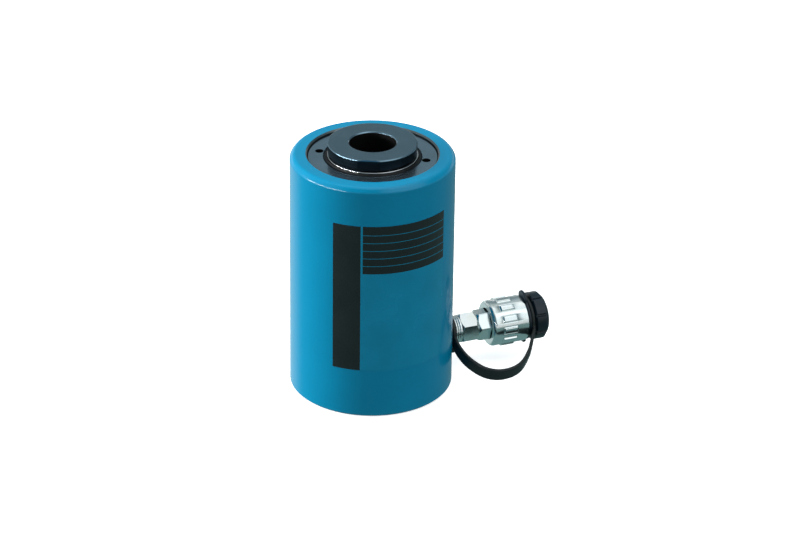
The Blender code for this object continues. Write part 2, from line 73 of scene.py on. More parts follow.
# ------------------------------------------------------------ node materials
class Mat:
    """A node material with short calls for the parts that repeat."""

    def __init__(self, name, colour=(0.5, 0.5, 0.5), rough=0.5, metal=0.0, spec=0.5, coat=0.0, coat_rough=0.05,
                 ior=1.5, sheen=0.0):
        self.m = bpy.data.materials.new(name)
        self.m.use_nodes = True
        self.nt = self.m.node_tree
        self.b = self.nt.nodes["Principled BSDF"]
        self.set("Base Color", (*colour, 1.0))
        self.set("Roughness", rough)
        self.set("Metallic", metal)
        self.set("Specular IOR Level", spec)
        self.set("Coat Weight", coat)
        self.set("Coat Roughness", coat_rough)
        self.set("IOR", ior)
        self.set("Sheen Weight", sheen)
        self.m.diffuse_color = (*colour, 1.0)
        self.coord = self.nt.nodes.new("ShaderNodeTexCoord").outputs["Object"]
        self.normal = None

    def set(self, key, value):
        self.b.inputs[key].default_value = value

    def link(self, a, b):
        self.nt.links.new(a, b)

    def math(self, op, a, b=None, clamp=False):
        n = self.nt.nodes.new("ShaderNodeMath")
        n.operation = op
        n.use_clamp = clamp
        for i, v in enumerate((a, b)):
            if v is None:
                continue
            if isinstance(v, (int, float)):
                n.inputs[i].default_value = v
            else:
                self.link(v, n.inputs[i])
        return n.outputs[0]

    def split(self, vec=None):
        n = self.nt.nodes.new("ShaderNodeSeparateXYZ")
        self.link(vec or self.coord, n.inputs[0])
        return n.outputs

    def join(self, x, y, z):
        n = self.nt.nodes.new("ShaderNodeCombineXYZ")
        for i, v in enumerate((x, y, z)):
            if isinstance(v, (int, float)):
                n.inputs[i].default_value = v
            else:
                self.link(v, n.inputs[i])
        return n.outputs[0]

    def noise(self, scale, detail=2.0, rough=0.5, vec=None, distort=0.0):
        n = self.nt.nodes.new("ShaderNodeTexNoise")
        n.inputs["Scale"].default_value = scale
        n.inputs["Detail"].default_value = detail
        n.inputs["Roughness"].default_value = rough
        n.inputs["Distortion"].default_value = distort
        self.link(vec or self.coord, n.inputs["Vector"])
        return n.outputs["Fac"]

    def lathe_vec(self, axis, k_r=1.0, k_h=1.0, k_t=0.0):
        """Coordinates that only change across a turned surface, so noise in
        them reads as tool marks running round the piece."""
        x, y, z = self.split()
        a, b, h = (x, y, z) if axis == "Z" else (y, z, x)
        r = self.math("SQRT", self.math("ADD", self.math("MULTIPLY", a, a), self.math("MULTIPLY", b, b)))
        t = self.math("ARCTAN2", a, b)
        return self.join(self.math("MULTIPLY", r, k_r), self.math("MULTIPLY", h, k_h), self.math("MULTIPLY", t, k_t))

    def ramp(self, fac, stops):
        n = self.nt.nodes.new("ShaderNodeValToRGB")
        e = n.color_ramp.elements
        while len(e) < len(stops):
            e.new(0.5)
        for s, (p, c) in zip(e, stops):
            s.position = p
            s.color = (*c, 1.0) if len(c) == 3 else c
        self.link(fac, n.inputs[0])
        return n.outputs["Color"]

    def span(self, fac, lo, hi, a=0.0, b=1.0):
        n = self.nt.nodes.new("ShaderNodeMapRange")
        n.inputs["From Min"].default_value = lo
        n.inputs["From Max"].default_value = hi
        n.inputs["To Min"].default_value = a
        n.inputs["To Max"].default_value = b
        self.link(fac, n.inputs["Value"])
        return n.outputs["Result"]

    def colour(self, fac, stops):
        self.link(self.ramp(fac, stops), self.b.inputs["Base Color"])
        return self

    def rough(self, fac, a, b):
        self.link(self.span(fac, 0.3, 0.7, a, b), self.b.inputs["Roughness"])
        return self

    def bump(self, height, strength, distance):
        n = self.nt.nodes.new("ShaderNodeBump")
        n.inputs["Strength"].default_value = strength
        n.inputs["Distance"].default_value = distance
        self.link(height, n.inputs["Height"])
        if self.normal is not None:
            self.link(self.normal, n.inputs["Normal"])
        self.normal = n.outputs["Normal"]
        self.link(self.normal, self.b.inputs["Normal"])
        return self


def vary(c, f):
    return tuple(max(0.0, v * f) for v in c)


def paint():
    """Sprayed enamel: slightly cloudy tint, uneven gloss and a clear top layer."""
    c = (0.0, 0.226, 0.407)
    p = Mat("teal_enamel", c, 0.30, 0.0, spec=0.14, coat=0.30, coat_rough=0.04)
    p.colour(p.noise(38.0, 3.0), [(0.30, vary(c, 0.97)), (0.70, vary(c, 1.03))])
    p.rough(p.noise(160.0, 2.0), 0.20, 0.25)
    return p.m


def turned_metal(name, c, rough, metal, axis, marks=0.10, spec=0.5, spread=0.07, cloud=0.10, coarse=2600.0):
    """Lathe-turned metal: fine rings, slow clouding and an uneven gloss."""
    t = Mat(name, c, rough, metal, spec=spec)
    ring = t.noise(coarse, 3.0, 0.65, t.lathe_vec(axis))
    slow = t.noise(55.0, 3.0, 0.6)
    t.colour(t.math("ADD", t.math("MULTIPLY", ring, 0.35), t.math("MULTIPLY", slow, 0.65)),
             [(0.30, vary(c, 1 - cloud)), (0.70, vary(c, 1 + cloud))])
    t.rough(t.math("ADD", t.math("MULTIPLY", ring, 0.5), t.math("MULTIPLY", slow, 0.5)), max(0.02, rough - spread), rough + spread)
    t.bump(ring, marks, 0.00003)
    return t.m


def plated(name, axis, c=(0.80, 0.83, 0.84), rough=0.17):
    """Bright zinc plate: a slight blue and straw tint, tool marks, pin marks."""
    t = Mat(name, c, rough, 1.0)
    ring = t.noise(2100.0, 2.0, 0.6, t.lathe_vec(axis))
    slow = t.noise(130.0, 3.0, 0.6)
    t.colour(slow, [(0.28, (c[0] * 0.88, c[1] * 0.94, c[2] * 0.95)), (0.5, c), (0.74, (c[0] * 0.98, c[1] * 0.97, c[2] * 0.90))])
    t.rough(t.math("ADD", t.math("MULTIPLY", ring, 0.4), t.math("MULTIPLY", slow, 0.6)), rough - 0.05, rough + 0.09)
    t.bump(ring, 0.09, 0.00003)
    t.bump(t.noise(900.0, 2.0, 0.6), 0.05, 0.00003)
    return t.m


def rubber(name, c=(0.011, 0.0125, 0.014), rough=0.42, spec=0.45, grain=0.16):
    """Moulded rubber: fine matte grain with a dusty bloom in places."""
    t = Mat(name, c, rough, 0.0, spec=spec)
    slow = t.noise(75.0, 4.0, 0.6)
    t.colour(slow, [(0.30, vary(c, 0.8)), (0.72, vary(c, 1.6))])
    t.rough(slow, rough - 0.05, rough + 0.08)
    t.bump(t.noise(2400.0, 2.0, 0.6), grain, 0.00004)
    t.bump(t.noise(260.0, 2.0), 0.10, 0.0001)
    return t.m


def polymer(name, c, rough=0.45, spec=0.45):
    t = Mat(name, c, rough, 0.0, spec=spec)
    slow = t.noise(120.0, 3.0)
    t.colour(slow, [(0.30, vary(c, 0.85)), (0.70, vary(c, 1.12))])
    t.rough(slow, rough - 0.06, rough + 0.06)
    t.bump(t.noise(1500.0, 2.0), 0.08, 0.00003)
    return t.m


def printed(name, c, rough, coat=0.25, grain=0.05):
    """Printed film: an even ink layer under a thin clear laminate."""
    t = Mat(name, c, rough, 0.0, spec=0.35, coat=coat, coat_rough=0.12)
    slow = t.noise(60.0, 2.0)
    t.colour(slow, [(0.30, vary(c, 0.93)), (0.70, vary(c, 1.07))])
    t.rough(slow, rough - 0.03, rough + 0.05)
    t.bump(t.noise(330.0, 2.0), grain, 0.0001)
    return t.m


ENAMEL = paint()
BARE = turned_metal("bare_mouth_steel", (0.15, 0.17, 0.175), 0.32, 1.0, "Z")
# the barrel's bore gets a near-black steel colour as painted shade inside the mouth
BORE_SHADE_STEEL = turned_metal("bore_steel_painted_shade", (0.07, 0.08, 0.085), 0.36, 1.0, "Z")
# near-black painted shade for the walls of the spanner holes and of the saddle's centre bore, not a colour the steel
# has
HOLE_SHADE = polymer("hole_painted_shade", (0.003, 0.003, 0.003), 0.6, spec=0.10)
BLACKENED = turned_metal("blackened_ring", (0.270, 0.380, 0.465), 0.20, 0.95, "Z", marks=0.0, cloud=0.10, spread=0.04)
# The saddle's blackened steel is split into lit and shaded copies: the top's colour is the lit copy, and the sides'
# colour, about ten times darker, is painted shade.
SADDLE_LIT_TOP = turned_metal("blackened_saddle", (0.166, 0.262, 0.328), 0.22, 0.95, "Z", marks=0.0, cloud=0.10, spread=0.04)
SIDE_SHADE_STEEL = turned_metal("saddle_side_painted_shade", (0.016, 0.026, 0.034), 0.33, 0.96, "Z", marks=0.02, cloud=0.15)
CHROME = turned_metal("hard_chrome_rod", (0.76, 0.77, 0.78), 0.13, 1.0, "Z", marks=0.03, cloud=0.03, spread=0.04)
TUBE = turned_metal("ground_tube", (0.13, 0.135, 0.14), 0.34, 1.0, "Z", marks=0.08)
ZINC = plated("zinc_adaptor", "X", c=(0.74, 0.79, 0.80))
ZINC_BODY = plated("zinc_coupler", "X", c=(0.72, 0.78, 0.79))
ZINC_COLLAR = plated("zinc_collar", "X", c=(0.73, 0.79, 0.80), rough=0.16)
SEAT = turned_metal("seat_steel", (0.58, 0.58, 0.58), 0.24, 1.0, "X")
POPPET = turned_metal("poppet_steel", (0.62, 0.62, 0.62), 0.20, 1.0, "X")
CAP = rubber("dust_cap_rubber", (0.0008, 0.0080, 0.0150), 0.33, spec=0.38)
STRAP = rubber("strap_rubber", (0.0070, 0.0105, 0.0112), 0.44, spec=0.36)
WIPER = rubber("wiper_rubber", (0.004, 0.0045, 0.005), 0.45, spec=0.25)
BLACK_PRINT = printed("black_print", (0.0070, 0.0105, 0.0110), 0.26)
BLUE_FILM = printed("clear_blue_film", (0.0, 0.235, 0.407), 0.24, coat=0.10)


# -------------------------------------------------------------------- meshes
def put(name, verts, faces, mats, face_mat=None, at=(0, 0, 0), sharp=32.0):
    """A mesh whose vertices are in millimetres relative to `at`."""
    me = bpy.data.meshes.new(name)
    me.from_pydata([tuple(c * MM for c in v) for v in verts], [], faces)
    for m in (mats if isinstance(mats, (list, tuple)) else [mats]):
        me.materials.append(m)
    if face_mat is not None:
        me.polygons.foreach_set("material_index", np.array(face_mat, np.int32))
    bm = bmesh.new()
    bm.from_mesh(me)
    bmesh.ops.remove_doubles(bm, verts=bm.verts, dist=1e-7)
    bmesh.ops.recalc_face_normals(bm, faces=bm.faces)
    bm.to_mesh(me)
    bm.free()
    me.shade_smooth()
    me.set_sharp_from_angle(angle=math.radians(sharp))
    ob = bpy.data.objects.new(name, me)
    ob.location = [c * MM for c in at]
    bpy.context.scene.collection.objects.link(ob)
    return ob


def rounded(pts, seg=4):
    """Close a (radius, height, fillet) outline, with an arc at each corner."""
    out = []
    n = len(pts)
    for i in range(n):
        p = np.array(pts[i][:2], float)
        rad = pts[i][2] if len(pts[i]) > 2 else 0.0
        a = np.array(pts[i - 1][:2], float) - p
        b = np.array(pts[(i + 1) % n][:2], float) - p
        la, lb = np.linalg.norm(a), np.linalg.norm(b)
        if rad <= 0 or la < 1e-9 or lb < 1e-9:
            out.append(tuple(p))
            continue
        a, b = a / la, b / lb
        half = math.acos(max(-1.0, min(1.0, float(a @ b)))) / 2
        if half > math.pi / 2 - 0.02:
            out.append(tuple(p))
            continue
        t = min(rad / math.tan(half), 0.48 * la, 0.48 * lb)
        rad = t * math.tan(half)
        mid = (a + b) / np.linalg.norm(a + b)
        c = p + mid * rad / math.sin(half)
        v0, v1 = p + a * t - c, p + b * t - c
        w = math.acos(max(-1.0, min(1.0, float(v0 @ v1) / (np.linalg.norm(v0) * np.linalg.norm(v1)))))
        # a narrow flat strip on either side keeps the wide faces shading flat
        sa, sb = min(0.12, 0.9 * (0.5 * la - t)), min(0.12, 0.9 * (0.5 * lb - t))
        if sa > 0.02:
            q = p + a * (t + sa)
            out.append((max(0.0, float(q[0])), float(q[1])))
        for k in range(seg + 1):
            f = k / seg
            q = c + (v0 * math.sin((1 - f) * w) + v1 * math.sin(f * w)) / math.sin(w)
            out.append((max(0.0, float(q[0])), float(q[1])))
        if sb > 0.02:
            q = p + b * (t + sb)
            out.append((max(0.0, float(q[0])), float(q[1])))
    return out


def rows_at(prof, heights, wall_r=None, tol=1e-6):
    """Add rows to an outline where its walls pass the given heights."""
    out = []
    n = len(prof)
    for i in range(n):
        p, q = prof[i], prof[(i + 1) % n]
        out.append(p)
        if wall_r is not None and (p[0] < wall_r or q[0] < wall_r):
            continue
        lo, hi = min(p[1], q[1]), max(p[1], q[1])
        inside = sorted((h for h in heights if lo + tol < h < hi - tol), reverse=q[1] < p[1])
        for h in inside:
            f = (h - p[1]) / (q[1] - p[1])
            out.append((p[0] + f * (q[0] - p[0]), h))
    return out


def lathe(name, prof, mats, axis="Z", n=180, angles=None, radial=None, pick=None, at=None, sharp=32.0):
    """Turn a closed outline about Z or X.  `radial` may change the radius at a
    direction, `pick` chooses a material slot from (radius, height)."""
    if angles is None:
        angles = [2 * math.pi * k / n for k in range(n)]
    else:
        angles = sorted({round(a % (2 * math.pi), 7) for a in angles})
    n = len(angles)
    verts, start = [], []
    for i, (r, h) in enumerate(prof):
        start.append(len(verts))
        if r < 1e-6:
            verts.append((0, 0, h) if axis == "Z" else (h, 0, 0))
            continue
        for t in angles:
            rr = radial(t, r, h) if radial else r
            if axis == "Z":
                verts.append((rr * math.cos(t), rr * math.sin(t), h))
            else:
                verts.append((h, -rr * math.cos(t), rr * math.sin(t)))
    faces, fm = [], []
    for i in range(len(prof)):
        j = (i + 1) % len(prof)
        (r0, h0), (r1, h1) = prof[i], prof[j]
        if r0 < 1e-6 and r1 < 1e-6:
            continue
        slot = pick((r0 + r1) / 2, (h0 + h1) / 2) if pick else 0
        for k in range(n):
            l = (k + 1) % n
            if r0 < 1e-6:
                f = (start[i], start[j] + k, start[j] + l)
            elif r1 < 1e-6:
                f = (start[i] + k, start[j], start[i] + l)
            else:
                f = (start[i] + k, start[j] + k, start[j] + l, start[i] + l)
            faces.append(f)
            fm.append(slot)
    if at is None:
        at = BARREL_AT if axis == "Z" else COUPLER_AT
    return put(name, verts, faces, mats, fm, at, sharp)


def apply_boolean(ob, cutter, operation="DIFFERENCE"):
    m = ob.modifiers.new("cut", "BOOLEAN")
    m.operation = operation
    m.solver = "EXACT"
    m.object = cutter
    m.material_mode = "TRANSFER"
    bake_modifiers(ob)
    bpy.data.objects.remove(cutter, do_unlink=True)


def bake_modifiers(ob, sharp=32.0):
    dg = bpy.context.evaluated_depsgraph_get()
    dg.update()
    me = bpy.data.meshes.new_from_object(ob.evaluated_get(dg))
    ob.modifiers.clear()
    old = ob.data
    ob.data = me
    bpy.data.meshes.remove(old)
    me.shade_smooth()
    me.set_sharp_from_angle(angle=math.radians(sharp))


def place(ob, body, nodes):
    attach(ob, body)
    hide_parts(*nodes)
    return ob


def smooth01(t):
    t = max(0.0, min(1.0, t))
    return t * t * (3 - 2 * t)


def fold(a, period):
    """Signed difference from the nearest multiple of a period, in degrees."""
    return (a + period / 2) % period - period / 2


# ---------------------------------------------------------------- the barrel
# slot 2 paints the bore inside the mouth dark as painted shade; slot 1 is the bare chamfer and foot
barrel = lathe("barrel_shell", rows_at(rounded([
    (46.3, 0.0, 0.35), (47.5, 1.2, 0.6), (47.5, 143.2, 2.2), (45.5, 146.0, 3.0),
    (38.3, 146.0, 0.12), (37.5, 145.2, 0.1), (37.5, 118.7), (36.5, 118.7),
    (36.5, 19.2, 0.8), (18.3, 19.2, 0.3), (18.3, 13.5), (20.6, 13.5), (20.6, 10.5), (18.3, 10.5),
    (18.3, 7.3), (19.9, 7.3), (19.9, 0.0, 0.3)], 5), (4.6, 9.0, 35.0) + tuple(range(41, 140, 6)), 40.0),
    [ENAMEL, BARE, BORE_SHADE_STEEL], n=240, pick=lambda r, h: 0 if r > 38.4 else (1 if h > 145.0 or h < 1.0 else 2))
port = lathe("port_cut", [(8.5, 60.0), (8.5, 38.3), (2.5, 38.3), (2.5, 30.0), (0.0, 30.0), (0.0, 60.0)], BARE, axis="X", n=48)
apply_boolean(barrel, port)
place(barrel, "barrel", ["cylinder_body"])

# the data film: a black band, a black ruled panel and plain film, left blank
LABEL_Z = (30.5, 122.5)
PSI = (-27.0, -7.1, -5.7, 59.0)
RULES = (116.9, 112.0, 107.1, 102.3, 97.5)
PANEL_Z = 92.6
RULE_W = 0.30
cuts_z = sorted({LABEL_Z[0], LABEL_Z[1], PANEL_Z} | {z + s * RULE_W / 2 for z in RULES for s in (-1, 1)})
cols = []
for a, b in zip(PSI, PSI[1:]):
    k = max(1, int(round((b - a) / 1.5)))
    cols += [a + (b - a) * i / k for i in range(k)]
cols.append(PSI[-1])
verts, faces, fm = [], [], []
nz = len(cuts_z)
for r in (BODY_R + 0.05, BODY_R + 0.17):
    for psi in cols:
        t = -math.pi / 2 - PHI + math.radians(psi)
        for z in cuts_z:
            verts.append((r * math.cos(t), r * math.sin(t), z))
nc = len(cols)


def vid(layer, c, z):
    return layer * nc * nz + c * nz + z


for c in range(nc - 1):
    for z in range(nz - 1):
        psi_m, z_m = (cols[c] + cols[c + 1]) / 2, (cuts_z[z] + cuts_z[z + 1]) / 2
        on_rule = any(abs(z_m - q) < RULE_W / 2 for q in RULES)
        black = psi_m < PSI[1] or (psi_m > PSI[2] and z_m > PANEL_Z and not on_rule)
        for layer in (0, 1):
            faces.append((vid(layer, c, z), vid(layer, c + 1, z), vid(layer, c + 1, z + 1), vid(layer, c, z + 1)))
            fm.append(0 if black else 1)
for z in range(nz - 1):
    for c in (0, nc - 1):
        faces.append((vid(0, c, z), vid(0, c, z + 1), vid(1, c, z + 1), vid(1, c, z)))
        fm.append(1)
for c in range(nc - 1):
    for z in (0, nz - 1):
        faces.append((vid(0, c, z), vid(1, c, z), vid(1, c + 1, z), vid(0, c + 1, z)))
        fm.append(1)
film = put("data_film", verts, faces, [BLACK_PRINT, BLUE_FILM], fm, BARREL_AT)
place(film, "barrel", ["label_film"])

tube = lathe("centre_sleeve", rounded([
    (19.6, 7.0), (19.6, 1.2), (19.0, 0.6, 0.2), (14.5, 0.6, 0.2), (13.5, 1.6, 0.3), (13.5, 132.2, 0.3),
    (14.3, 133.0, 0.2), (17.2, 133.0, 0.2), (18.0, 132.2, 0.2), (18.0, 7.0)]), TUBE, n=128)
place(tube, "barrel", ["centre_tube"])

stop = lathe("stop_ring_turned", rounded([
    (37.2, 144.3, 0.5), (37.2, 119.0, 0.3), (36.2, 119.0), (36.2, 91.3, 0.3), (33.6, 91.3, 0.3), (33.6, 119.2),
    (26.6, 119.2), (26.6, 122.7), (28.5, 122.7), (28.5, 138.3), (26.6, 138.3), (26.6, 140.4),
    (28.2, 140.4), (28.2, 144.0), (28.5, 144.3, 0.12)], 4), BLACKENED, n=240)
for k, deg in enumerate((-(10.0 + 22.0), -(10.0 + 22.0) + 180)):
    a = math.radians(deg)
    # the cutter's near-black colour passes to the hole walls as painted shade
    hole = lathe("spanner_cut_%d" % k, [(2.5, 150), (2.5, 144.15), (2.28, 143.9), (2.28, 138.3), (0, 138.3), (0, 150)], HOLE_SHADE, n=40,
                 at=(AXIS_X + 31.0 * math.cos(a), 31.0 * math.sin(a), 0))
    apply_boolean(stop, hole)
place(stop, "barrel", ["stop_ring"])

# the outer top of the wiper takes the darkened steel that paints shade on the saddle's sides
wiper = lathe("wiper_lip", rounded([
    (27.9, 144.0, 0.2), (27.9, 140.7), (26.8, 140.7), (26.8, 142.4), (26.25, 144.9, 0.1),
    (26.6, 144.9, 0.1), (27.15, 144.05, 0.1)], 3), [WIPER, SIDE_SHADE_STEEL], n=180,
    pick=lambda r, h: 1 if r > 27.15 and h > 143.9 else 0)
place(wiper, "barrel", ["rod_wiper"])

# ------------------------------------------------------- plunger and saddle
plunger = lathe("plunger_turned", rounded([
    (36.0, 41.0, 0.5), (36.0, 38.0), (34.0, 38.0), (34.0, 34.4), (36.0, 34.4), (36.0, 33.2), (31.5, 33.2),
    (31.5, 25.0), (36.0, 25.0), (36.0, 23.6), (33.0, 19.5, 0.6), (18.3, 19.5, 0.3), (18.3, 25.0), (22.5, 25.0),
    (22.5, 31.4), (18.3, 31.4), (18.3, 34.4), (20.3, 34.4), (20.3, 38.0), (18.3, 38.0),
    (18.3, 134.2), (21.0, 134.2), (21.0, 145.6, 0.2), (26.0, 145.6, 0.25), (26.0, 41.0, 0.8)], 4), CHROME, n=200)
place(plunger, "plunger", ["plunger"])

FLAT_A = math.radians(-(4.5 + 22.0))


def four_flats(t, r, h):
    d = (t - FLAT_A + math.pi / 4) % (math.pi / 2) - math.pi / 4
    return min(r, 25.1 / math.cos(d)) if r > 24.9 else r


half_flat = math.acos(25.1 / 25.9)
saddle_angles = [2 * math.pi * k / 240 for k in range(240)]
for k in range(4):
    for s in (-1, 1):
        saddle_angles.append(FLAT_A + k * math.pi / 2 + s * half_flat)
# slot 0 is the lit copy on the top, slot 1 the painted-shade copy on the sides, slot 2 paints the centre bore
# near-black as painted shade
saddle = lathe("saddle_turned", rows_at(rounded([
    (25.9, 153.0, 0.75), (25.9, 147.0, 0.3), (24.3, 146.6, 0.2), (24.3, 145.9, 0.15), (20.7, 145.9), (20.7, 134.5, 0.4),
    (14.1, 134.5, 0.3), (13.5, 135.1, 0.3), (13.5, 152.4, 0.3), (14.1, 153.0, 0.3)], 5), (148.0, 150.0, 151.6), 24.0),
    [SADDLE_LIT_TOP, SIDE_SHADE_STEEL, HOLE_SHADE], pick=lambda r, h: 1 if r > 20.8 and h < 152.3 else (2 if h < 151.0 and r < 14.2 else 0), angles=saddle_angles, radial=four_flats, sharp=26.0)
place(saddle, "plunger", ["saddle"])


# --------------------------------------------------------- adaptor, coupler
def hexagon(corner_deg, turned_off=99.0):
    def limit(t, r):
        d = math.radians(fold(math.degrees(t) - corner_deg - 30.0, 60.0))
        return min(r, turned_off, HEX_AF / 2 / math.cos(d))
    return limit


HEX1 = (55.2, 65.0)
HEX2 = (65.3, 75.8)
limit1 = hexagon(FACE_DEG)
limit2 = hexagon(8.5, 9.3)
PITCH = 1.337


def adaptor_radius(t, r, h):
    if h > HEX1[0] - 1e-6:
        return limit1(t, r)
    if r > 7.9 and 38.9 < h < HEX1[0] - 0.35:
        f = (h / PITCH - t / (2 * math.pi)) % 1.0
        ridge = 1.0 - abs(2 * f - 1.0)
        ends = smooth01((h - 38.9) / 0.8) * smooth01((HEX1[0] - 0.35 - h) / 0.5)
        return r - 0.36 * (1.0 - min(1.0, ridge * 1.3)) * ends
    return r


hex1_rows = [HEX1[0] + 0.15 * k for k in range(1, 9)] + [HEX1[1] - 0.15 * k for k in range(1, 9)] + [60.0]
thread_rows = [38.8 + PITCH / 8 * k for k in range(1, 98) if 38.8 + PITCH / 8 * k < HEX1[0] - 0.3]
adaptor = lathe("adaptor_plated", rows_at(rows_at(rounded([
    (8.2, 38.6, 0.3), (8.2, HEX1[0] - 0.3), (7.7, HEX1[0], 0.05), (8.35, HEX1[0], 0.1), (9.7, HEX1[0] + 1.1),
    (9.7, HEX1[1] - 1.1), (8.35, HEX1[1], 0.1), (6.6, HEX1[1]), (6.6, 77.2), (3.0, 77.2), (3.0, 38.6)], 3),
    hex1_rows, 7.0), thread_rows, 8.15), ZINC, axis="X",
    angles=[math.radians(FACE_DEG + 2.0 * k) for k in range(180)], radial=adaptor_radius, sharp=24.0)
place(adaptor, "barrel", ["port_adaptor"])


def body_radius(t, r, h):
    return limit2(t, r) if h < HEX2[1] + 1e-6 and r > 7.0 else r


hex2_rows = [HEX2[0] + 0.2 * k for k in range(1, 13)] + [70.0, 72.5]
edge2 = math.degrees(math.acos(HEX_AF / 2 / 9.3))
body_angles = [8.5 + 2.5 * k for k in range(144)] + [8.5 + 30 + 60 * k + s * edge2 for k in range(6) for s in (-1, 1)]
body = lathe("coupler_housing", rows_at(rounded([
    (7.75, HEX2[0], 0.15), (9.4, HEX2[0] + 1.7, 0.2), (9.4, HEX2[1], 0.1), (8.6, HEX2[1]), (8.6, 78.9), (7.6, 78.9),
    (7.6, 80.3), (8.6, 80.3), (8.6, 94.6, 0.2), (8.0, 95.2, 0.2), (6.0, 95.2, 0.2), (6.0, 78.8), (3.4, 78.8),
    (3.4, 77.5), (6.9, 77.5), (6.9, HEX2[0])], 3), hex2_rows, 7.2), ZINC_BODY, axis="X",
    angles=[math.radians(a) for a in body_angles], radial=body_radius, sharp=24.0)
place(body, "barrel", ["coupler_body"])

# lock collar with twelve raised grip pads
PAD_C = FACE_DEG + 2.4
PAD_S = (79.6, 87.9)


def collar_radius(t, r, h):
    if r < 13.65 or not PAD_S[0] - 0.63 < h < PAD_S[1] + 0.63:
        return r
    d = abs(fold(math.degrees(t) - PAD_C, 30.0))
    side = (8.1 - d) / 1.9
    end = min(h - PAD_S[0] + 0.12, PAD_S[1] + 0.12 - h) / 0.45
    out = max((d - 8.1) * 0.239, PAD_S[0] - 0.12 - h, h - PAD_S[1] - 0.12)
    groove = 0.16 * (1 - abs(2 * out / 0.5 - 1)) if 0 < out < 0.5 else 0.0
    return r + 0.8 * smooth01(min(side, end)) - groove


pad_angles = [math.radians(PAD_C + 30 * k + d) for k in range(12)
              for d in (-15, -11.5, -10.2, -9.15, -8.1, -7.7, -7.3, -6.9, -6.5, -6.2, -4.5, -2.2, 0, 2.2, 4.5, 6.2, 6.5, 6.9, 7.3, 7.7, 8.1, 9.15, 10.2, 11.5)]
collar = lathe("lock_collar_plated", rows_at(rounded([
    (9.4, 73.3, 0.3), (13.7, 73.3, 3.5), (13.7, 95.6, 0.55), (12.0, 95.6, 0.3), (11.2, 94.8, 0.3), (11.2, 78.6),
    (8.9, 78.6, 0.1), (8.9, 76.2, 0.1), (9.4, 76.2)], 9),
    (78.98, 79.23, 79.48, 79.58, 79.68, 79.78, 79.88, 79.96, 81.0, 83.0, 85.0, 86.5, 87.54, 87.62, 87.72, 87.82, 87.92, 88.02, 88.27, 88.52), 13.6), ZINC_COLLAR, axis="X",
    angles=pad_angles, radial=collar_radius, sharp=50.0)
place(collar, "collar", ["lock_collar"])

seat = lathe("seat_turned", rounded([
    (5.7, 88.0), (5.7, 90.4), (4.9, 90.4), (4.9, 92.4), (5.7, 92.4), (5.7, 94.8, 0.2), (3.1, 94.8, 0.3),
    (3.1, 90.4, 0.1), (4.7, 88.0)], 3), SEAT, axis="X", n=72)
place(seat, "barrel", ["valve_seat"])
poppet = lathe("poppet_turned", rounded([
    (0.0, 83.3), (2.2, 83.3, 0.1), (2.4, 83.6), (2.4, 85.0), (4.9, 85.0, 0.15), (4.9, 86.4, 0.15), (4.2, 87.6, 0.3), (2.7, 89.9, 0.3),
    (1.8, 90.2, 0.1), (1.8, 93.7, 0.2), (1.3, 94.2, 0.3), (0.0, 94.2)], 3), POPPET, axis="X", n=64)
place(poppet, "poppet", ["valve_poppet"])



def coil(name, mean_r, wire, z0, z1, turns, dead, mat, axis, at, per_turn=48, around=14):
    """A compression spring whose end coils lie close together."""
    close = wire * 1.08
    live = (z1 - z0 - wire - 2 * dead * close) / (turns - 2 * dead)
    count = int(round(turns * per_turn))

    def at_turn(t):
        a = 2 * math.pi * t
        z = z0 + wire / 2 + close * min(t, dead) + live * max(0.0, min(t, turns - dead) - dead) + close * max(0.0, t - (turns - dead))
        return Vector((mean_r * math.cos(a), mean_r * math.sin(a), z))

    verts, faces = [], []
    for i in range(count + 1):
        t = turns * i / count
        p = at_turn(t)
        along = (at_turn(min(turns, t + 0.004)) - at_turn(max(0.0, t - 0.004))).normalized()
        out = Vector((p.x, p.y, 0.0)).normalized()
        third = along.cross(out).normalized()
        for k in range(around):
            u = 2 * math.pi * k / around
            q = p + (out * math.cos(u) + third * math.sin(u)) * wire / 2
            verts.append((q.x, q.y, q.z) if axis == "Z" else (q.z, q.y, -q.x))
    for i in range(count):
        for k in range(around):
            l = (k + 1) % around
            faces.append((i * around + k, i * around + l, (i + 1) * around + l, (i + 1) * around + k))
    faces.append(tuple(range(around)))
    faces.append(tuple(count * around + k for k in reversed(range(around))))
    return put(name, verts, faces, mat, None, at, 60.0)


SPRING = turned_metal("spring_wire", (0.10, 0.105, 0.11), 0.32, 0.95, "Z")
VALVE_SPRING = turned_metal("valve_spring_wire", (0.40, 0.41, 0.42), 0.28, 1.0, "X")
spring = coil("return_coil", 30.0, 5.2, 41.3, 118.9, 5.0, 0.8, SPRING, "Z", BARREL_AT)
place(spring, "spring", ["return_spring"])
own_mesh(spring)
valve_coil = coil("valve_coil", 3.9, 0.7, 79.1, 84.7, 4.0, 0.7, VALVE_SPRING, "X", COUPLER_AT, 36, 10)
place(valve_coil, "barrel", ["valve_spring"])
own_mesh(valve_coil)

# ------------------------------------------------------------- the dust cap
NOTCH_C = FACE_DEG - 3.4
HEAD = (100.3, 109.3)
TAB = 88.0
NUB = -80.0


def rounded_box_reach(d, reach, half, corner):
    """How far a round-cornered tongue reaches in a direction `d` off its centre."""
    d = abs(d)
    if d < 1e-6:
        return reach
    if d > math.radians(60):
        return 0.0
    r = min(reach / math.cos(d), half / math.sin(d))
    x, y = r * math.cos(d), r * math.sin(d)
    cx, cy = reach - corner, half - corner
    if x > cx and y > cy:
        m, dd = cx * math.cos(d) + cy * math.sin(d), cx * cx + cy * cy - corner * corner
        r = m + math.sqrt(max(0.0, m * m - dd))
    return r


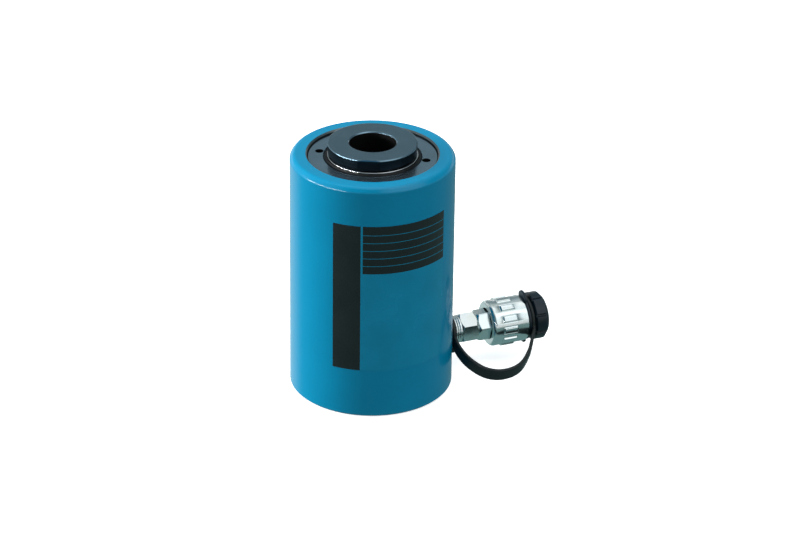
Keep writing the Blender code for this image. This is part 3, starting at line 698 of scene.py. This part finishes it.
def cap_radius(t, r, h):
    deg = math.degrees(t)
    if 95.9 - 1e-6 <= h <= 97.5 + 1e-6 and r > 12.4:
        tab = rounded_box_reach(math.radians(fold(deg - TAB, 360.0)), 17.3, 5.5, 4.4)
        nub = rounded_box_reach(math.radians(fold(deg - NUB, 360.0)), 15.5, 2.3, 1.7)
        return max(r, tab - (13.3 - r), nub - (13.3 - r))
    if r > 12.8 and h > HEAD[0] + 0.2:
        d = abs(fold(deg - NOTCH_C, 45.0))
        side = smooth01((d - 1.4) / 2.4)
        end = min(smooth01((h - HEAD[0] - 0.1) / 0.6), smooth01((107.2 - h) / 0.35))
        return r + 0.95 * side * end
    return r


cap_angles = [math.radians(5.0 * k) for k in range(72)]
cap_angles += [math.radians(NOTCH_C + 45 * k + d) for k in range(8) for d in (-5, -3.8, -3.4, -3.0, -2.6, -2.2, -1.8, -1.4, 0, 1.4, 1.8, 2.2, 2.6, 3.0, 3.4, 3.8, 5)]
cap_angles += [math.radians(TAB + 0.8 * k) for k in range(-27, 28)]
cap_angles += [math.radians(NUB + 0.8 * k) for k in range(-12, 13)]
cap_prof = rounded([
    (9.3, 86.0, 0.3), (10.8, 86.0, 0.5), (10.8, 95.9, 0.2), (13.3, 95.9, 0.35), (13.3, 97.5, 0.35), (9.5, 97.5, 0.3),
    (9.5, 100.3, 0.3), (13.05, 100.3, 0.5), (13.25, 101.0), (13.25, 107.4, 0.5), (12.5, 108.5, 0.9), (11.4, 109.3, 0.8), (0.0, 109.3),
    (0.0, 96.6), (9.3, 96.6, 0.4)], 5)
cap = lathe("dust_cap_moulded", rows_at(cap_prof, (100.55, 100.75, 101.1, 101.5, 102.5, 104.0, 105.5, 106.5, 106.85, 106.95, 107.03, 107.12, 107.2), 13.0), CAP, axis="X",
            angles=cap_angles, radial=cap_radius, sharp=34.0)
for v in cap.data.vertices:
    r_ = math.hypot(v.co.y, v.co.z) / MM
    if 95.8 < v.co.x / MM < 97.6 and r_ > 13.6 and v.co.z > 0:
        v.co.x -= (r_ - 13.6) * 0.08 * MM
place(cap, "cap", ["dust_cap"])

# -------------------------------------------------- the strap, one moulding
STRAP_DEG = math.radians(-20.0)
OUT = Vector((0, -math.cos(STRAP_DEG), math.sin(STRAP_DEG)))
WIDE = Vector((0, -math.sin(STRAP_DEG), -math.cos(STRAP_DEG)))
ROUTE = ((49.1, 9.4), (49.1, 11.3), (49.4, 18.0), (51.4, 26.1), (56.0, 34.1), (61.1, 38.4),
         (67.6, 40.4), (75.4, 39.6), (82.4, 35.9), (90.0, 27.6), (95.0, 19.6), (98.6, 13.4), (98.9, 11.3))
STRAP_W, STRAP_T = 8.6, 2.0


def smooth_route(pts, per):
    p = [np.array(q, dtype=float) for q in pts]
    p = [2 * p[0] - p[1]] + p + [2 * p[-1] - p[-2]]
    out = []
    for i in range(1, len(p) - 2):
        a, b, c, d4 = p[i - 1], p[i], p[i + 1], p[i + 2]
        for k in range(per):
            t = k / per
            out.append(0.5 * (2 * b + (c - a) * t + (2 * a - 5 * b + 4 * c - d4) * t * t
                              + (3 * b - a - 3 * c + d4) * t ** 3))
    out.append(p[-2])
    return out


route = smooth_route(ROUTE, 8)
corner = []
for cx, cy in ((1, 1), (-1, 1), (-1, -1), (1, -1)):
    for k in range(5):
        a = math.atan2(cy, cx) - math.pi / 4 + math.pi / 2 * k / 4
        corner.append((cx * (STRAP_W / 2 - 0.7) + 0.7 * math.cos(a), cy * (STRAP_T / 2 - 0.7) + 0.7 * math.sin(a)))
verts, faces = [], []
for i, q in enumerate(route):
    q0, q1 = route[max(i - 1, 0)], route[min(i + 1, len(route) - 1)]
    tan = (q1 - q0) / np.linalg.norm(q1 - q0)
    for w, th in corner:
        s, r = q[0] - tan[1] * th, q[1] + tan[0] * th
        verts.append(Vector((s, 0, 0)) + OUT * float(r) + WIDE * w)
m = len(corner)
for i in range(len(route) - 1):
    for k in range(m):
        l = (k + 1) % m
        faces.append((i * m + k, i * m + l, (i + 1) * m + l, (i + 1) * m + k))
faces.append(tuple(range(m)))
faces.append(tuple((len(route) - 1) * m + k for k in reversed(range(m))))
strap = put("strap_moulding", verts, faces, STRAP, None, COUPLER_AT)
strap_parts = [
    lathe("eye_a", rounded([(10.9, 47.9, 0.6), (10.9, 50.3, 0.6), (8.5, 50.3, 0.4), (8.5, 47.9, 0.4)], 3), STRAP, axis="X", n=120),
    lathe("eye_b", rounded([(13.0, 97.8, 0.6), (13.0, 100.0, 0.6), (9.8, 100.0, 0.4), (9.8, 97.8, 0.4)], 3), STRAP, axis="X", n=120)]
bd = math.radians(-63.0)
strap_parts.append(lathe("knob", rounded([(0.0, 47.95), (1.8, 47.95, 0.9), (2.1, 49.7, 1.2), (1.8, 51.4, 0.9), (0.0, 51.4)], 4), STRAP, axis="X", n=40,
                         at=(AXIS_X, -11.6 * math.cos(bd), PORT_Z + 11.6 * math.sin(bd))))
for part in strap_parts:
    bm = bmesh.new()
    bm.from_mesh(strap.data)
    extra = part.data.copy()
    extra.transform(Matrix.Translation(part.location - strap.location))
    bm.from_mesh(extra)
    bm.to_mesh(strap.data)
    bm.free()
    bpy.data.objects.remove(part, do_unlink=True)
    bpy.data.meshes.remove(extra)
remesh = strap.modifiers.new("one_skin", "REMESH")
remesh.mode = "VOXEL"
remesh.voxel_size = 0.00036
remesh.use_smooth_shade = True
soften = strap.modifiers.new("mould_radius", "SMOOTH")
soften.factor = 0.5
soften.iterations = 4
bake_modifiers(strap, 60.0)
strap.data.materials.clear()
strap.data.materials.append(STRAP)
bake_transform(strap)
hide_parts("strap_base_ring", "strap_band", "strap_cap_ring")

# --------------------------------------- finishes of the carried-over nodes
carried = {
    "centre_tube_seal": rubber("tube_seal_rubber", (0.012, 0.012, 0.013), 0.5),
    "seat_seal": rubber("valve_seal_rubber", (0.012, 0.012, 0.013), 0.5),
    "guide_bush": polymer("bush_composite", (0.30, 0.17, 0.06)),
    "piston_wear_ring": polymer("outer_wear_composite", (0.33, 0.19, 0.08)),
    "inner_wear_ring": polymer("inner_wear_composite", (0.33, 0.19, 0.08)),
    "piston_seal": polymer("outer_seal_urethane", (0.26, 0.13, 0.02), 0.35),
    "inner_seal": polymer("inner_seal_urethane", (0.26, 0.13, 0.02), 0.35),
    "piston_backup_ring": polymer("backup_polymer", (0.74, 0.72, 0.66)),
    "collar_retaining_ring": turned_metal("snap_ring_wire", (0.26, 0.27, 0.28), 0.30, 1.0, "X"),
}
for node, m in carried.items():
    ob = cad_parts[node]
    if not ob.material_slots:
        ob.data.materials.append(m)
    for s in ob.material_slots:
        s.material = m

# ------------------------------------------------------------------- studio
floor_mat = Mat("studio_floor", (0.90, 0.90, 0.90), 0.75, 0.0, spec=0.0)
floor_mat.colour(floor_mat.noise(1.3, 2.0), [(0.3, (0.895, 0.895, 0.895)), (0.7, (0.905, 0.905, 0.905))])
floor_mat.set("Emission Color", (1.0, 1.0, 1.0, 1.0))
floor_mat.set("Emission Strength", 0.66)
fm_ = bpy.data.meshes.new("studio_floor")
S = 60.0
fm_.from_pydata([(-S, -S, 0), (S, -S, 0), (S, S, 0), (-S, S, 0)], [], [(0, 1, 2, 3)])
fm_.materials.append(floor_mat.m)
floor = bpy.data.objects.new("studio_floor", fm_)
floor.location.z = -0.0002
bpy.context.scene.collection.objects.link(floor)
floor.visible_glossy = False
floor.visible_diffuse = False


def from_view(x, y, z):
    """A vector given as right, away and up of the camera, in the row frame."""
    return Vector((x * math.cos(PHI) + y * math.sin(PHI), -x * math.sin(PHI) + y * math.cos(PHI), z))


def towards(azimuth, elevation):
    """A direction by degrees to the right of the camera and degrees up."""
    a_, e_ = math.radians(azimuth), math.radians(elevation)
    return from_view(math.sin(a_) * math.cos(e_), -math.cos(a_) * math.cos(e_), math.sin(e_))


world = bpy.data.worlds.new("studio_air")
bpy.context.scene.world = world
world.use_nodes = True
wt = world.node_tree
bg = wt.nodes["Background"]
coord = wt.nodes.new("ShaderNodeTexCoord").outputs["Generated"]
sep = wt.nodes.new("ShaderNodeSeparateXYZ")
wt.links.new(coord, sep.inputs[0])
ramp = wt.nodes.new("ShaderNodeValToRGB")
SKY = [(-1.0, (0.16, 0.28, 0.275)), (-0.55, (0.17, 0.29, 0.285)), (-0.20, (0.14, 0.24, 0.235)), (-0.03, (0.20, 0.28, 0.28)),
       (0.0, (0.97, 0.97, 0.97)), (0.08, (0.90, 0.91, 0.91)), (0.17, (0.20, 0.26, 0.27)), (0.50, (0.15, 0.22, 0.24)),
       (0.82, (0.15, 0.21, 0.23)), (0.93, (0.62, 0.66, 0.67)), (1.0, (0.66, 0.70, 0.71))]
el = ramp.color_ramp.elements
while len(el) < len(SKY):
    el.new(0.5)
for e_, (z_, c_) in zip(el, SKY):
    e_.position = (z_ + 1) / 2
    e_.color = (*c_, 1.0)
up = wt.nodes.new("ShaderNodeMapRange")
up.inputs["From Min"].default_value = -1.0
up.inputs["From Max"].default_value = 1.0
wt.links.new(sep.outputs["Z"], up.inputs["Value"])
wt.links.new(up.outputs["Result"], ramp.inputs[0])
sky = ramp.outputs["Color"]


def glow(sky, direction, inner, outer, strength):
    """Add a soft round panel of light to the studio's walls and ceiling."""
    dot = wt.nodes.new("ShaderNodeVectorMath")
    dot.operation = "DOT_PRODUCT"
    wt.links.new(coord, dot.inputs[0])
    dot.inputs[1].default_value = direction.normalized()
    edge_ = wt.nodes.new("ShaderNodeMapRange")
    edge_.interpolation_type = "SMOOTHSTEP"
    edge_.inputs["From Min"].default_value = math.cos(math.radians(outer))
    edge_.inputs["From Max"].default_value = math.cos(math.radians(inner))
    edge_.inputs["To Max"].default_value = strength
    wt.links.new(dot.outputs["Value"], edge_.inputs["Value"])
    add = wt.nodes.new("ShaderNodeVectorMath")
    add.operation = "ADD"
    wt.links.new(sky, add.inputs[0])
    wt.links.new(edge_.outputs["Result"], add.inputs[1])
    return add.outputs["Vector"]


sky = glow(sky, towards(50, 36), 18, 34, 0.95)
sky = glow(sky, towards(80, 68), 18, 36, 0.45)
sky = glow(sky, towards(168, 60), 10, 28, 0.28)
sky = glow(sky, towards(180, 30), 12, 42, 0.08)
sky = glow(sky, towards(-95, 30), 22, 48, 0.45)
sky = glow(sky, towards(-152, -22), 12, 36, 0.45)
wt.links.new(sky, bg.inputs["Color"])
bg.inputs["Strength"].default_value = 1.0


def aim(ob, target):
    ob.rotation_mode = "QUATERNION"
    ob.rotation_quaternion = (Vector(target) - ob.location).to_track_quat("-Z", "Y")


def sun(name, direction, strength, angle, colour=(1, 1, 1)):
    d = bpy.data.lights.new(name, "SUN")
    d.energy = strength
    d.angle = math.radians(angle)
    d.color = colour
    ob = bpy.data.objects.new(name, d)
    bpy.context.scene.collection.objects.link(ob)
    ob.location = direction.normalized() * 3.0
    aim(ob, (0, 0, 0))
    return ob


key = sun("key_left", towards(-100, 13), 4.6, 24)
key.visible_glossy = False
top = sun("fill_top", Vector((0, 0, 1)), 1.25, 60)
top.visible_glossy = False

# a long low strip light on the left, for the thin lines on edges
strip_data = bpy.data.lights.new("strip_left", "AREA")
strip_data.shape = "RECTANGLE"
strip_data.size, strip_data.size_y = 1.9, 0.16
strip_data.energy = 38.0
strip = bpy.data.objects.new("strip_left", strip_data)
bpy.context.scene.collection.objects.link(strip)
strip.location = towards(-66, 10) * 1.6 + Vector((AXIS_X * MM, 0, 0.1))
aim(strip, (AXIS_X * MM, 0, 0.1))
strip.visible_diffuse = False
strip.visible_camera = False

# ------------------------------------------------------------------- camera
e, roll = math.radians(27.377), math.radians(0.7246)
D, TX, TY = 2000.0, -16.362, 9.4268
fwd = Vector((0, math.cos(e), -math.sin(e)))
right, upv = Vector((1, 0, 0)), Vector((0, math.sin(e), math.cos(e)))
r2 = math.cos(roll) * right + math.sin(roll) * upv
u2 = -math.sin(roll) * right + math.cos(roll) * upv
c = Vector((0, 0, 75.0)) - fwd * D - r2 * TX - u2 * TY
cam_data = bpy.data.cameras.new("camera")
cam_data.sensor_width = 36.0
cam_data.lens = 3450.93 * 36.0 / 800.0
cam_data.clip_start, cam_data.clip_end = 0.1, 100.0
cam = bpy.data.objects.new("camera", cam_data)
bpy.context.scene.collection.objects.link(cam)
basis = [from_view(*v) for v in (r2, u2, -fwd)]
place_c = from_view(*c) * MM + Vector((AXIS_X * MM, 0, 0))
cam.matrix_world = Matrix(((basis[0].x, basis[1].x, basis[2].x, place_c.x),
                           (basis[0].y, basis[1].y, basis[2].y, place_c.y),
                           (basis[0].z, basis[1].z, basis[2].z, place_c.z), (0, 0, 0, 1)))
scene = bpy.context.scene
scene.camera = cam
scene.view_settings.view_transform = "Standard"
scene.view_settings.look = "None"
scene.view_settings.exposure = 0.0

bpy.context.view_layer.update()
